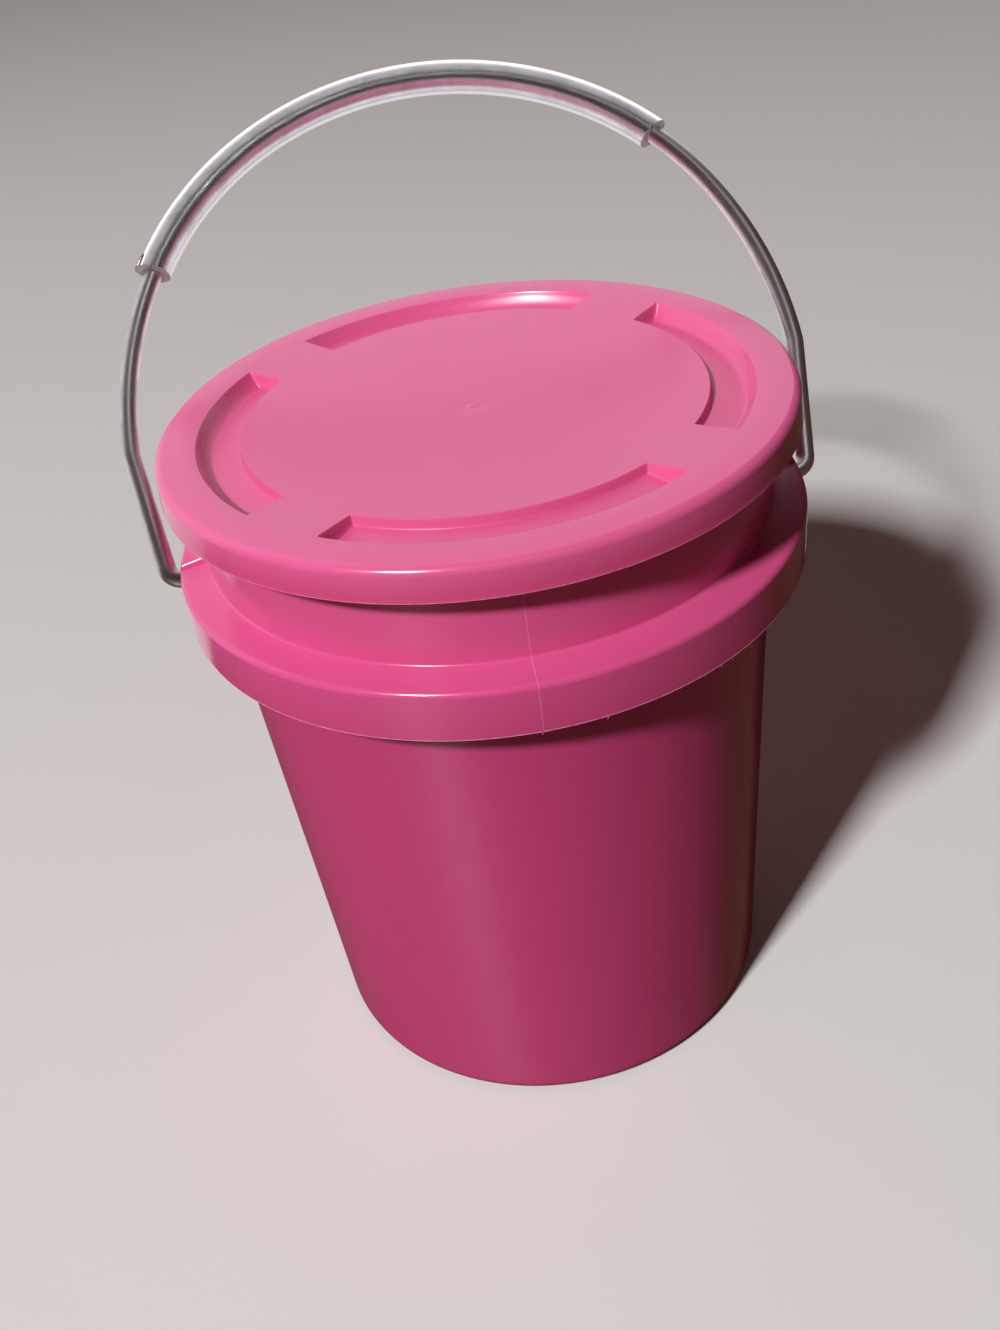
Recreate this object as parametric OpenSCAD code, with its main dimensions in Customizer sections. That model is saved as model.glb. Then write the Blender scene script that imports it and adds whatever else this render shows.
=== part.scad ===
// Small round party favor pail with a press-on lid and a wire bail that carries a clear grip sleeve.
// The base stands on z = 0, the pail's axis is z, and the bail turns about a line along x.
// All sizes are in millimetres.

/* [Pail] */
// Height of the pail from the table to the top of its rim
pail_h = 102; // [96:0.5:112]
// Outer diameter that the tapered wall would have at the table
base_d = 71.2; // [66:0.2:76]
// Outer diameter of the wall where the collar meets it
neck_d = 80.6; // [78.5:0.1:81.5]
// Thickness of the moulded wall
wall = 1.4; // [1:0.1:2]
// Thickness of the bottom
floor_t = 1.6; // [1:0.1:2.5]
// Rounding of the outer bottom edge
foot_round = 2.4; // [1.5:0.1:4]
// Height by which the bottom is raised inside its foot ring
foot_recess = 0.8; // [0.4:0.1:1.2]
// Width of the flat foot ring
foot_ring_w = 2; // [1.5:0.1:4]
// Growth of the neck's outer radius between the collar and the rim
neck_flare = 0.3; // [0:0.05:0.5]
// How far the rim's lip stands out from the neck
lip_out = 2; // [1.2:0.1:2.2]
// Height of the rim's lip
lip_h = 1.8; // [1.2:0.1:2.6]

/* [Collar] */
// Outer diameter of the collar
collar_d = 90; // [88:0.5:96]
// Drop from the top of the rim to the root of the collar
collar_drop = 14.8; // [11:0.2:18]
// Fall of the collar's top surface from its root to its outer edge
collar_slope = 1; // [0.4:0.1:2]
// Height of the collar's outer skirt
collar_skirt_h = 7.1; // [6.8:0.1:12]
// Inward lean of the skirt's face from its top to its lower edge
collar_draft = 0.2; // [0:0.05:0.5]
// Thickness of the collar's lower edge
collar_edge_t = 1.1; // [0.8:0.1:1.6]
// Rounding of the collar's upper outer edge
collar_round = 0.9; // [0.4:0.1:1.4]
// Width of the boss that holds each end of the bail
boss_w = 5.6; // [4.6:0.1:8]
// Height of that boss above the collar's outer edge
boss_rise = 0.9; // [0.5:0.1:1.2]
// Depth of the bail's axis below the collar's upper outer edge
pivot_drop = 2.7; // [2.5:0.1:3.2]

/* [Lid] */
// Outer diameter of the lid's skirt at its lower edge
lid_d = 88.9; // [88.3:0.1:92]
// Height of the lid's skirt from its lower edge to the lid's top
lid_skirt_h = 4.6; // [4:0.1:6.5]
// Thickness of the lid's top
lid_t = 1.4; // [1.2:0.1:2]
// Thickness of the lid's skirt
lid_skirt_t = 0.9; // [0.7:0.05:1.1]
// Inward lean of the skirt's face from its lower edge to its top
lid_draft = 0.2; // [0:0.05:0.4]
// Rounding of the lid's upper outer edge
lid_round = 1.3; // [0.6:0.1:2]
// Depth of the ring that plugs the pail's mouth, below the lid's top plate
plug_h = 4; // [2.5:0.1:8]
// Thickness of that ring
plug_t = 1.2; // [0.8:0.1:1.6]
// Gap between the plug ring and the pail's mouth, on the radius
plug_clearance = 0.25; // [0.15:0.05:0.4]
// Gap between the rim's top and the lid's underside
seat_clearance = 0.08; // [0.05:0.01:0.15]

/* [Lid recesses] */
// Number of recesses around the lid
recess_count = 4; // [2:1:4]
// Angle that one recess spans at the lid's top
recess_span = 70; // [40:1:76]
// Outer diameter of the recesses at the lid's top
recess_outer_d = 77; // [70:0.5:77]
// Inner diameter of the recesses at the lid's top
recess_inner_d = 64.6; // [50:0.5:66]
// Depth of the recesses
recess_depth = 1.3; // [0.6:0.1:1.6]
// Inward run of a recess's outer wall down to its floor
recess_outer_run = 2.2; // [0.4:0.1:2.4]
// Outward run of a recess's inner wall down to its floor
recess_inner_run = 0.4; // [0.1:0.1:1]
// Run of a recess's end walls down to its floor
recess_end_run = 1; // [0.4:0.1:1.8]
// Thickness of the floor under the recesses
recess_floor_t = 1.1; // [0.8:0.1:1.4]
// Diameter of the shallow gate mark at the lid's centre
gate_d = 3; // [2:0.5:6]
// Depth of the gate mark
gate_depth = 0.15; // [0.1:0.05:0.3]
// Diameter of the gate's broken stub
gate_stub_d = 1; // [0.6:0.1:1.6]

/* [Bail] */
// Diameter of the bail's wire
wire_d = 2.7; // [2:0.05:2.8]
// Height of the wire's centre line above the bail's axis at its top
bail_h = 76.3; // [72:0.1:78]
// Gap between the collar and the wire's centre line where the bail is widest
bail_side = 5.2; // [4.4:0.1:6]
// Height of the bail's widest place above its axis
shoulder_h = 21.2; // [18:0.1:24]
// Half of the angle that the top arc spans
top_arc_half = 64; // [62:0.5:66]
// Bend radius of the wire's centre line at its shoulders
shoulder_bend = 10; // [6:0.5:12]
// Bend radius of the wire's centre line at its feet
foot_bend = 2.2; // [2:0.1:3]
// Gap between the collar's face and the start of the foot bend
foot_gap = 0.15; // [0.1:0.05:0.3]
// Length of the wire's straight end inside its hole
pin_l = 3.1; // [2:0.1:3.2]
// Depth of the hole past the wire's end
pin_end_gap = 0.3; // [0.2:0.05:0.4]
// Gap between the wire and its hole, on the radius
pivot_clearance = 0.07; // [0.03:0.01:0.1]
// Lean of the bail from upright, towards the back
bail_lean = 50; // [0:1:90]

/* [Grip sleeve] */
// Gap between the wire and the sleeve's bore, on the radius
sleeve_clearance = 0.35; // [0.15:0.05:0.5]
// Wall thickness of the sleeve
sleeve_t = 0.85; // [0.5:0.05:1]
// Angle from the bail's top to the sleeve's left end
sleeve_left = 63; // [20:0.5:63.5]
// Angle from the bail's top to the sleeve's right end
sleeve_right = 49; // [20:0.5:60]

/* [Hidden] */
$fn = 96;
arc_steps = 5;
wire_fn = 32;
overlap = 0.5;
reach = 60;
base_r = base_d / 2;
neck_r = neck_d / 2;
collar_r = collar_d / 2;
collar_z = pail_h - collar_drop;
collar_edge_z = collar_z - collar_slope;
collar_low_z = collar_edge_z - collar_skirt_h;
draft_angle = atan((neck_r - base_r) / collar_z);
foot_centre_r = base_r - foot_round * (1 - sin(draft_angle)) / cos(draft_angle);
foot_ring_r = foot_centre_r - foot_ring_w;
floor_z = foot_recess + floor_t;
inner_round = foot_round - wall / 2;
inner_base_r = outer_r(floor_z) - wall;
rim_r = neck_r + neck_flare;
mouth_r = rim_r - wall;
lip_r = rim_r + lip_out;
lip_low_z = pail_h - lip_h;
lip_edge = 0.4;
pivot_z = collar_edge_z - pivot_drop;
wire_r = wire_d / 2;
seam_step = 0.01;
seam_in = 0.12;
hole_r = wire_r + pivot_clearance;
pin_start_x = collar_r + foot_gap;
hole_end_x = pin_start_x - pin_l - pin_end_gap;
boss_top_z = collar_edge_z + boss_rise;
boss_low_z = pivot_z - boss_w / 2;
boss_out_x = collar_r - collar_edge_t / 2;
boss_round = 0.5;

lid_r = lid_d / 2;
lid_low_r = lid_r - lid_skirt_t;
lid_under_z = pail_h + seat_clearance;
lid_top_z = lid_under_z + lid_t;
lid_low_z = lid_top_z - lid_skirt_h;
plug_r = mouth_r - plug_clearance;
plug_low_z = lid_under_z - plug_h;
recess_outer_r = recess_outer_d / 2;
recess_inner_r = recess_inner_d / 2;
recess_floor_z = lid_top_z - recess_depth;
pan_low_z = recess_floor_z - recess_floor_t;
pan_side = recess_floor_t;

bail_half_w = collar_r + bail_side;
rise_h = bail_h - shoulder_h;
arc_s = sin(top_arc_half);
arc_c = cos(top_arc_half);
arc_det = arc_s * arc_c - (1 - arc_s) * (1 - arc_c);
top_arc_r = (bail_half_w * arc_c - (1 - arc_s) * rise_h) / arc_det;
side_arc_r = (arc_s * rise_h - (1 - arc_c) * bail_half_w) / arc_det;
top_arc_z = bail_h - top_arc_r;
side_arc_x = bail_half_w - side_arc_r;
shoulder_x = bail_half_w - shoulder_bend;
centre_shift = shoulder_x - pin_start_x;
centre_drop = shoulder_h - foot_bend;
centre_gap = sqrt(centre_shift * centre_shift + centre_drop * centre_drop);
leg_angle = atan2(centre_shift, centre_drop) + asin((shoulder_bend - foot_bend) / centre_gap);
leg_l = centre_gap * cos(asin((shoulder_bend - foot_bend) / centre_gap));
leg_heading = 90 + leg_angle;
sleeve_in_r = wire_r + sleeve_clearance;
sleeve_out_r = sleeve_in_r + sleeve_t;

// Outer radius of the tapered wall at height z
function outer_r(z) = base_r + (neck_r - base_r) * z / collar_z;

// Points of an arc about (cx, cy), from angle a0 to angle a1
function arc_points(cx, cy, r, a0, a1) = [
    for (i = [0:arc_steps])
        [cx + r * cos(a0 + (a1 - a0) * i / arc_steps), cy + r * sin(a0 + (a1 - a0) * i / arc_steps)]
];

// Section of the pail's wall, bottom and rim, from the axis outwards
module pail_wall_section() {
    polygon(concat(
        [[0, foot_recess], [foot_ring_r - foot_recess, foot_recess], [foot_ring_r, 0]],
        arc_points(foot_centre_r, foot_round, foot_round, -90, -draft_angle),
        [[neck_r, collar_z], [rim_r, lip_low_z - lip_out / 2], [rim_r + lip_out / 2, lip_low_z]],
        [[lip_r, lip_low_z], [lip_r, pail_h - lip_edge], [lip_r - lip_edge, pail_h]],
        [[mouth_r + lip_edge, pail_h], [mouth_r, pail_h - lip_edge], [neck_r - wall, collar_z]],
        arc_points(inner_base_r - inner_round, floor_z + inner_round, inner_round, 0, -90),
        [[0, floor_z]]
    ));
}

// Section of the collar: a sloping top and a skirt that hangs clear of the wall
module collar_section() {
    polygon(concat(
        [[neck_r - overlap, collar_z - wall], [neck_r - overlap, collar_z], [neck_r, collar_z]],
        arc_points(collar_r - collar_round, collar_edge_z - collar_round + collar_draft, collar_round, 80, 0),
        [[collar_r - collar_draft, collar_low_z], [collar_r - collar_draft - collar_edge_t, collar_low_z]],
        [[collar_r - wall, collar_edge_z - wall]]
    ));
}

// Round-topped boss between the wall and the skirt, along +x
module pivot_boss() {
    rise = boss_top_z - boss_low_z - boss_round;
    translate([neck_r - overlap, 0, boss_low_z])
        rotate([90, 0, 90])
            linear_extrude(height = boss_out_x - neck_r + overlap)
                union() {
                    translate([-boss_w / 2, 0])
                        square([boss_w, rise]);
                    translate([-boss_w / 2 + boss_round, 0])
                        square([boss_w - 2 * boss_round, rise + boss_round]);
                    for (side = [-1, 1])
                        translate([side * (boss_w / 2 - boss_round), rise])
                            circle(r = boss_round, $fn = wire_fn);
                }
}

// Blind hole in the collar for one end of the bail, along +x
module pivot_hole() {
    translate([hole_end_x, 0, pivot_z])
        rotate([0, 90, 0])
            cylinder(r = hole_r, h = collar_r - hole_end_x + overlap);
}

// The pail, moulded as one piece: bottom, tapered wall, collar with two bosses, neck and rim
module pail() {
    color([0.86, 0.2, 0.47])
        difference() {
            union() {
                rotate_extrude()
                    union() {
                        pail_wall_section();
                        collar_section();
                    }
                pivot_boss();
                mirror([1, 0, 0])
                    pivot_boss();
            }
            pivot_hole();
            mirror([1, 0, 0])
                pivot_hole();
        }
}

// Section of the lid without its recesses: top plate, skirt and plug ring
module lid_section() {
    polygon(concat(
        [[0, lid_under_z], [plug_r - plug_t, lid_under_z], [plug_r - plug_t, plug_low_z]],
        [[plug_r - plug_t / 2, plug_low_z], [plug_r, plug_low_z + plug_t / 2], [plug_r, lid_under_z]],
        [[lid_low_r - lid_draft, lid_under_z], [lid_low_r, lid_low_z], [lid_r, lid_low_z]],
        arc_points(lid_r - lid_draft - lid_round, lid_top_z - lid_round, lid_round, 0, 90),
        [[0, lid_top_z]]
    ));
}

// Half-space that one end wall of a recess bounds: end_side is 1 or -1, grow moves the wall outwards
module end_half_space(end_side, grow) {
    tilt = atan(recess_end_run / recess_depth);
    translate([0, 0, lid_top_z])
        rotate([0, 0, end_side * recess_span / 2])
            rotate([-end_side * tilt, 0, 0])
                translate([-reach, end_side * grow - reach - end_side * reach, -reach])
                    cube([2 * reach, 2 * reach, 2 * reach]);
}

// Sector of the lid between the two end walls of one recess, which spread by grow on each side
module recess_sector(grow) {
    intersection() {
        end_half_space(1, grow);
        end_half_space(-1, grow);
    }
}

// The hollow of one recess, centred on +x
module recess_cut() {
    intersection() {
        rotate_extrude()
            polygon([
                [recess_inner_r, lid_top_z + overlap],
                [recess_inner_r, lid_top_z],
                [recess_inner_r + recess_inner_run, recess_floor_z],
                [recess_outer_r - recess_outer_run, recess_floor_z],
                [recess_outer_r, lid_top_z],
                [recess_outer_r, lid_top_z + overlap]
            ]);
        recess_sector(0);
    }
}

// The pan that carries the floor of one recess under the top plate, centred on +x
module recess_pan() {
    intersection() {
        rotate_extrude()
            polygon([
                [recess_inner_r - pan_side, lid_under_z + overlap],
                [recess_inner_r - pan_side + recess_inner_run, pan_low_z],
                [plug_r - plug_t / 2, pan_low_z],
                [plug_r - plug_t / 2, lid_under_z + overlap]
            ]);
        recess_sector(pan_side);
    }
}

// The lid, moulded as one piece: top with arc recesses, skirt over the rim and plug ring in the mouth
module lid() {
    color([0.87, 0.24, 0.52])
        union() {
            difference() {
                union() {
                    rotate_extrude()
                        lid_section();
                    for (i = [0:recess_count - 1])
                        rotate([0, 0, i * 360 / recess_count])
                            recess_pan();
                }
                for (i = [0:recess_count - 1])
                    rotate([0, 0, i * 360 / recess_count])
                        recess_cut();
                translate([0, 0, lid_top_z - gate_depth])
                    cylinder(d = gate_d, h = gate_depth + overlap);
            }
            translate([0, 0, lid_top_z - lid_t / 2])
                cylinder(d = gate_stub_d, h = lid_t / 2);
        }
}

// Arc of round bar in the x-z plane, from heading h0 to heading h1, both measured from the top
module bar_arc(centre_x, centre_z, bend_r, bar_r, h0, h1) {
    translate([centre_x, 0, centre_z])
        rotate([90, 0, 0])
            rotate([0, 0, 90 - h1])
                rotate_extrude(angle = h1 - h0)
                    translate([bend_r, 0])
                        circle(r = bar_r, $fn = wire_fn);
}

// One side of the bail from the end of the top arc down to its pin, upright, on +x.
// Every second length is thinner by seam_step and runs seam_in into its neighbours.
module bail_side_wire() {
    leg_x = shoulder_x + shoulder_bend * sin(leg_heading);
    leg_z = shoulder_h + shoulder_bend * cos(leg_heading);
    run_in = seam_in / side_arc_r * 180 / PI;
    bar_arc(side_arc_x, shoulder_h, side_arc_r, wire_r - seam_step, top_arc_half - run_in, 90 + run_in);
    bar_arc(shoulder_x, shoulder_h, shoulder_bend, wire_r, 90, leg_heading);
    translate([leg_x, 0, leg_z])
        rotate([0, 90 + leg_heading, 0])
            translate([0, 0, -seam_in])
                cylinder(r = wire_r - seam_step, h = leg_l + 2 * seam_in, $fn = wire_fn);
    bar_arc(pin_start_x, foot_bend, foot_bend, wire_r, leg_heading, 180);
    translate([pin_start_x - pin_l, 0, 0])
        rotate([0, 90, 0])
            cylinder(r = wire_r - seam_step, h = pin_l + seam_in, $fn = wire_fn);
}

// Puts an upright bail on its axis and leans it back
module on_pivot() {
    translate([0, 0, pivot_z])
        rotate([-bail_lean, 0, 0])
            children();
}

// The bail: one bent wire
module bail() {
    color([0.62, 0.63, 0.64])
        on_pivot()
            union() {
                bar_arc(0, top_arc_z, top_arc_r, wire_r, -top_arc_half, top_arc_half);
                bail_side_wire();
                mirror([1, 0, 0])
                    bail_side_wire();
            }
}

// The clear sleeve: a tube that lies round the bail's top arc
module grip_sleeve() {
    color([0.85, 0.85, 0.87, 0.4])
        on_pivot()
            difference() {
                bar_arc(0, top_arc_z, top_arc_r, sleeve_out_r, -sleeve_left, sleeve_right);
                bar_arc(0, top_arc_z, top_arc_r, sleeve_in_r, -sleeve_left - 1, sleeve_right + 1);
            }
}

pail();
lid();
bail();
grip_sleeve();
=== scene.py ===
"""Looks of a small round favor pail: moulded pail, press-on lid, wire bail and clear grip sleeve.

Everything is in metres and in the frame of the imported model: the table is z = 0, the pail's axis is z
and the bail turns about a line along x.
"""

import math
import random

import bmesh
import bpy
from bpy.props import FloatProperty, FloatVectorProperty, IntProperty, PointerProperty
from mathutils import Matrix, Vector
from mathutils.kdtree import KDTree


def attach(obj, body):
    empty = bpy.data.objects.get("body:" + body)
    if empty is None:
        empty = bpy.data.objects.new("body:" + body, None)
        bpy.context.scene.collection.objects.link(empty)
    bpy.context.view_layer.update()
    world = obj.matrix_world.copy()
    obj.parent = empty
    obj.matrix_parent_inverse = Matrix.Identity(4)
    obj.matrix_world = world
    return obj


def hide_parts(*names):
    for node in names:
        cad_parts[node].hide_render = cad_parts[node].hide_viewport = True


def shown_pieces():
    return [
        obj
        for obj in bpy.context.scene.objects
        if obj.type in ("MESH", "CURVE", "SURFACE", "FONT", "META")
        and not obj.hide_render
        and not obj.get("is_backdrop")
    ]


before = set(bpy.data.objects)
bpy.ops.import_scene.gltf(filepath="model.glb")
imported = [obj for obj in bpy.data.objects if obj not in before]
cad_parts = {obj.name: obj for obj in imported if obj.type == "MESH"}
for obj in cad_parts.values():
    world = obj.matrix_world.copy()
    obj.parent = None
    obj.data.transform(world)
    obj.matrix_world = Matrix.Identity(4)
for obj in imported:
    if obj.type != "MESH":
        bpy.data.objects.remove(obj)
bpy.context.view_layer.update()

bl_info = {
    "name": "Favor Pail",
    "version": (1, 0, 0),
    "blender": (4, 5, 0),
    "location": "View3D > Sidebar > Favor Pail",
    "description": "Models the pail, its lid, its bail and the grip sleeve around the packed frame",
    "category": "Object",
}

MM = 0.001
TURN_STEPS = 288
TURN = 2 * math.pi
WHISKER_SEED = 7
WHISKERS = (-90.3, -79.5, -61.4, -57.5, -54.8, -50.2, -47.5, -45.0, -43.1, -128.0, 62.0, 131.0)


def length(name, description, millimetres):
    return FloatProperty(name=name, description=description, default=millimetres * MM, unit="LENGTH", precision=5)


def angle(name, description, degrees):
    return FloatProperty(name=name, description=description, default=math.radians(degrees), subtype="ANGLE")


def power(name, description, watts):
    return FloatProperty(name=name, description=description + ", in watts", default=watts)


def colour(name, description, value):
    return FloatVectorProperty(name=name, description=description, default=value, subtype="COLOR", size=3)


class PailSizes(bpy.types.PropertyGroup):
    height: length("Height", "From the table to the top of the rim", 102)
    base_width: length("Base width", "Outer diameter that the tapered wall would have at the table", 71.2)
    neck_width: length("Neck width", "Outer diameter of the wall where the collar meets it", 80.6)
    wall: length("Wall", "Thickness of the moulded wall", 1.4)
    foot_round: length("Foot rounding", "Rounding of the outer bottom edge", 2.4)
    collar_width: length("Collar width", "Outer diameter of the collar", 90)
    collar_root: length("Collar root", "Height of the collar's root on the wall", 87.2)
    collar_slope: length("Collar slope", "Fall of the collar's top to its outer edge", 1.0)
    collar_skirt: length("Collar skirt", "Height of the collar's hanging skirt", 7.1)
    collar_round: length("Collar rounding", "Rounding of the collar's upper outer edge", 0.9)
    boss_width: length("Boss width", "Width of the boss round each end of the bail", 5.6)
    boss_rise: length("Boss rise", "Height of the boss above the collar's edge", 0.9)
    boss_fall: length("Boss fall", "Fall of the boss's top to its outer end", 1.1)
    seam_height: length("Seam height", "Height of the mould's parting line", 0.05)
    seam_width: length("Seam width", "Half of the width of the parting line", 0.08)
    flash: length("Flash", "Reach of the thin flash on the collar's lower edge", 0.1)


class LidSizes(bpy.types.PropertyGroup):
    width: length("Width", "Outer diameter of the skirt at its lower edge", 88.9)
    top: length("Top", "Height of the lid's top above the table", 103.48)
    skirt: length("Skirt", "Height of the lid's skirt", 4.6)
    thickness: length("Thickness", "Thickness of the lid's top", 1.4)
    edge_round: length("Edge rounding", "Rounding of the upper outer edge", 1.3)
    crown: length("Crown", "Rise of the rim between the recesses and the edge", 0.12)
    recess_outer: length("Recess outer width", "Outer diameter of the recesses", 77)
    recess_inner: length("Recess inner width", "Inner diameter of the recesses", 64.6)
    recess_depth: length("Recess depth", "Depth of the recesses", 1.3)
    recess_span: angle("Recess span", "Angle that one recess spans", 70)
    recess_count: IntProperty(name="Recesses", description="Number of recesses", default=4, min=1, max=4)
    recess_fall: length("Recess fall", "Fall of a recess's floor towards its outer wall", 0.85)
    recess_outer_run: length("Outer wall run", "Inward run of a recess's outer wall down to its floor", 1.95)
    recess_inner_run: length("Inner wall run", "Outward run of a recess's inner wall down to its floor", 0.46)
    recess_end_run: length("End wall run", "Run of a recess's end walls down to its floor", 0.6)
    recess_end_slant: angle("End slant", "Angle that a recess's outer edge spans more at each end", 1.2)
    dish: length("Dish", "Depth that the top sinks towards its middle", 1.3)


class BailSizes(bpy.types.PropertyGroup):
    wire: length("Wire", "Diameter of the wire", 2.7)
    pivot: length("Pivot height", "Height of the line that the bail turns about", 83.5)
    rise: length("Rise", "Height of the wire's top above its pivot", 76.3)
    half_width: length("Half width", "Distance from the axis to the wire where the bail is widest", 50.2)
    shoulder: length("Shoulder", "Height of the widest place above the pivot", 21.2)
    top_arc: angle("Top arc", "Half of the angle that the top arc spans", 64)
    lean: angle("Lean", "Lean of the bail from upright towards the back", 50)
    sleeve_outer: length("Sleeve outer width", "Outer diameter of the grip sleeve", 5.1)
    sleeve_inner: length("Sleeve bore", "Bore of the grip sleeve", 3.4)
    sleeve_left: angle("Sleeve left", "Angle from the bail's top to the sleeve's left end", 63)
    sleeve_right: angle("Sleeve right", "Angle from the bail's top to the sleeve's right end", 49)


class FinishColours(bpy.types.PropertyGroup):
    pail_pink: colour("Pail pink", "Colour of the pail's plastic at its collar", (0.69, 0.090, 0.275))
    # Painted shade: a deeper, darker pink painted on the pail lower down, in place of the shade that falls there.
    pail_pink_painted_shade: colour("Deep pail pink", "Colour of the pail's plastic at its foot", (0.55, 0.054, 0.20))
    # Painted highlight: a paler pink painted along the parting line and the flash edge, where their thin ridges would
    # catch light.
    painted_glint: colour("Painted glint", "Colour of the thin plastic at the parting line and the flash", (0.95, 0.42, 0.60))
    lid_pink: colour("Lid pink", "Colour of the lid's plastic", (0.72, 0.115, 0.303))
    # Painted shade: a deeper, darker pink painted in the lid's recesses and on its skirt, in place of shade and
    # missing reflection there.
    lid_pink_painted_shade: colour("Deep lid pink", "Colour of the lid's plastic at its skirt", (0.59, 0.050, 0.183))
    zinc: colour("Zinc", "Colour of the galvanised wire", (0.70, 0.695, 0.71))
    zinc_dull: colour("Dull zinc", "Colour of the wire's weathered patches", (0.48, 0.48, 0.495))
    clear: colour("Clear", "Tint of the clear sleeve", (0.93, 0.95, 0.96))
    floor: colour("Floor", "Colour of the floor", (0.80, 0.795, 0.80))


class StageSettings(bpy.types.PropertyGroup):
    camera_place: FloatVectorProperty(
        name="Camera place",
        description="Where the camera stands",
        default=(-0.01105, -0.18068, 0.18549),
        subtype="TRANSLATION",
    )
    camera_aim: FloatVectorProperty(
        name="Camera aim",
        description="Point at the middle of the picture",
        default=(-0.0016, 0.00413, 0.0556),
        subtype="TRANSLATION",
    )
    camera_roll: angle("Camera roll", "Turn of the camera about its line of sight", -8.58)
    camera_lens: FloatProperty(name="Lens", description="Focal length", default=38.46, unit="CAMERA")
    key_turn: angle("Key turn", "Turn of the key light from the front to the left", 40)
    key_height: angle("Key height", "Height of the key light above the horizon", 44)
    key_distance: length("Key distance", "Distance of the key light", 2400)
    key_width: length("Key width", "Width of the key light", 240)
    key_power: power("Key light", "Power of the key light", 58.0)
    card_glow: FloatProperty(name="Card", description="Radiance of the white card behind the pail", default=0.75)
    overhead_power: power("Light above", "Power of the soft light above", 1.7)
    bounce_power: power("Bounce", "Power of the pink light off the lid", 0.013)
    floor_power: power("Floor bounce", "Power of the light off the floor", 0.3)
    sky_tint: colour("Sky tint", "Colour of the even light from all around", (1.0, 0.60, 0.48))
    sky: FloatProperty(name="Sky", description="Strength of the even light from all around", default=0.065)


def settings(name):
    return getattr(bpy.context.scene, "favor_pail_" + name)


# Modelling helpers


def clear_selection():
    if bpy.context.mode != "OBJECT":
        bpy.ops.object.mode_set(mode="OBJECT")
    bpy.ops.object.select_all(action="DESELECT")


def settle():
    """Puts the place, turn and size of the selected objects into their meshes."""
    bpy.ops.object.transform_apply(location=True, rotation=True, scale=True)


def edited():
    return bmesh.from_edit_mesh(bpy.context.edit_object.data)


def pick(kind, test):
    """Selects the vertices, edges or faces of the edited mesh that pass the test, and nothing else."""
    bpy.ops.mesh.select_mode(type=kind)
    bpy.ops.mesh.select_all(action="DESELECT")
    shape = edited()
    parts = {"VERT": shape.verts, "EDGE": shape.edges, "FACE": shape.faces}[kind]
    found = [part for part in parts if test(part)]
    if not found:
        raise RuntimeError("no part of the mesh is where it should be shaped")
    for part in found:
        part.select_set(True)
    shape.select_flush_mode()
    bmesh.update_edit_mesh(bpy.context.edit_object.data)
    return len(found)


def corners(part):
    return [part.co] if isinstance(part, bmesh.types.BMVert) else [v.co for v in part.verts]


def on_ring(radius, height, slack=0.02 * MM):
    """Test for parts that lie on a circle about the z axis."""

    def test(part):
        return all(abs(p.xy.length - radius) < slack and abs(p.z - height) < slack for p in corners(part))

    return test


def azimuth(point):
    return math.atan2(point.y, point.x)


def turned(name, section, turns=None):
    """Turns a section, listed from the axis outwards and back to the axis, into a closed round shape.

    The places round the axis can be given as angles; otherwise they are spaced evenly.
    """
    clear_selection()
    first_radius, first_height = section[1]
    bpy.ops.mesh.primitive_circle_add(
        vertices=len(turns) if turns else TURN_STEPS,
        radius=first_radius,
        fill_type="TRIFAN",
        location=(0, 0, first_height),
    )
    piece = bpy.context.object
    piece.name = name
    piece.data.name = name
    settle()
    if turns:
        ring = sorted((v for v in piece.data.vertices if v.co.xy.length > 0), key=lambda v: azimuth(v.co) % TURN)
        for vert, turn in zip(ring, sorted(turns)):
            vert.co.xy = first_radius * math.cos(turn), first_radius * math.sin(turn)
    bpy.ops.object.mode_set(mode="EDIT")
    pick("EDGE", on_ring(*section[1]))
    for (radius, height), (next_radius, next_height) in zip(section[1:-2], section[2:-1]):
        bpy.ops.mesh.extrude_edges_move(TRANSFORM_OT_translate={"value": (0, 0, next_height - height)})
        share = next_radius / radius
        bpy.ops.transform.resize(value=(share, share, 1), center_override=(0, 0, next_height))
    bpy.ops.mesh.extrude_edges_move(TRANSFORM_OT_translate={"value": (0, 0, section[-1][1] - section[-2][1])})
    bpy.ops.mesh.merge(type="CENTER")
    bpy.ops.mesh.select_all(action="SELECT")
    bpy.ops.mesh.normals_make_consistent(inside=False)
    return piece


def round_ring(radius, height, offset, segments=3):
    """Rounds the sharp edge that runs round the shape at one radius and height."""
    pick("EDGE", on_ring(radius, height))
    bpy.ops.mesh.bevel(offset=offset, segments=segments, profile=0.5, affect="EDGES", clamp_overlap=True)


def add_modifier(kind, **values):
    """Adds a modifier to the active object and applies it."""
    bpy.ops.object.modifier_add(type=kind)
    modifier = bpy.context.object.modifiers[-1]
    for key, value in values.items():
        setattr(modifier, key, value)
    bpy.ops.object.modifier_apply(modifier=modifier.name)


def only(piece):
    """Makes one piece the selected and active object."""
    clear_selection()
    piece.select_set(True)
    bpy.context.view_layer.objects.active = piece


def finish_piece(piece, smooth_angle=35, weighted=True):
    """Smooths the shading, if wanted with the large faces leading, and puts the place into the mesh."""
    only(piece)
    settle()
    bpy.ops.object.shade_smooth_by_angle(angle=math.radians(smooth_angle))
    if weighted:
        add_modifier("WEIGHTED_NORMAL", keep_sharp=True, weight=80)


def combine(piece, other, operation):
    """Unites or cuts a piece with another closed mesh, which is used up."""
    only(piece)
    add_modifier("BOOLEAN", operation=operation, object=other, solver="EXACT")
    other_mesh = other.data
    bpy.data.objects.remove(other)
    bpy.data.meshes.remove(other_mesh)


def arc(centre_radius, centre_height, radius, start, end, steps):
    """Points of an arc in a section, from one angle to another in degrees."""
    spots = []
    for step in range(steps + 1):
        a = math.radians(start + (end - start) * step / steps)
        spots.append((centre_radius + radius * math.cos(a), centre_height + radius * math.sin(a)))
    return spots


# Materials


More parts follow.
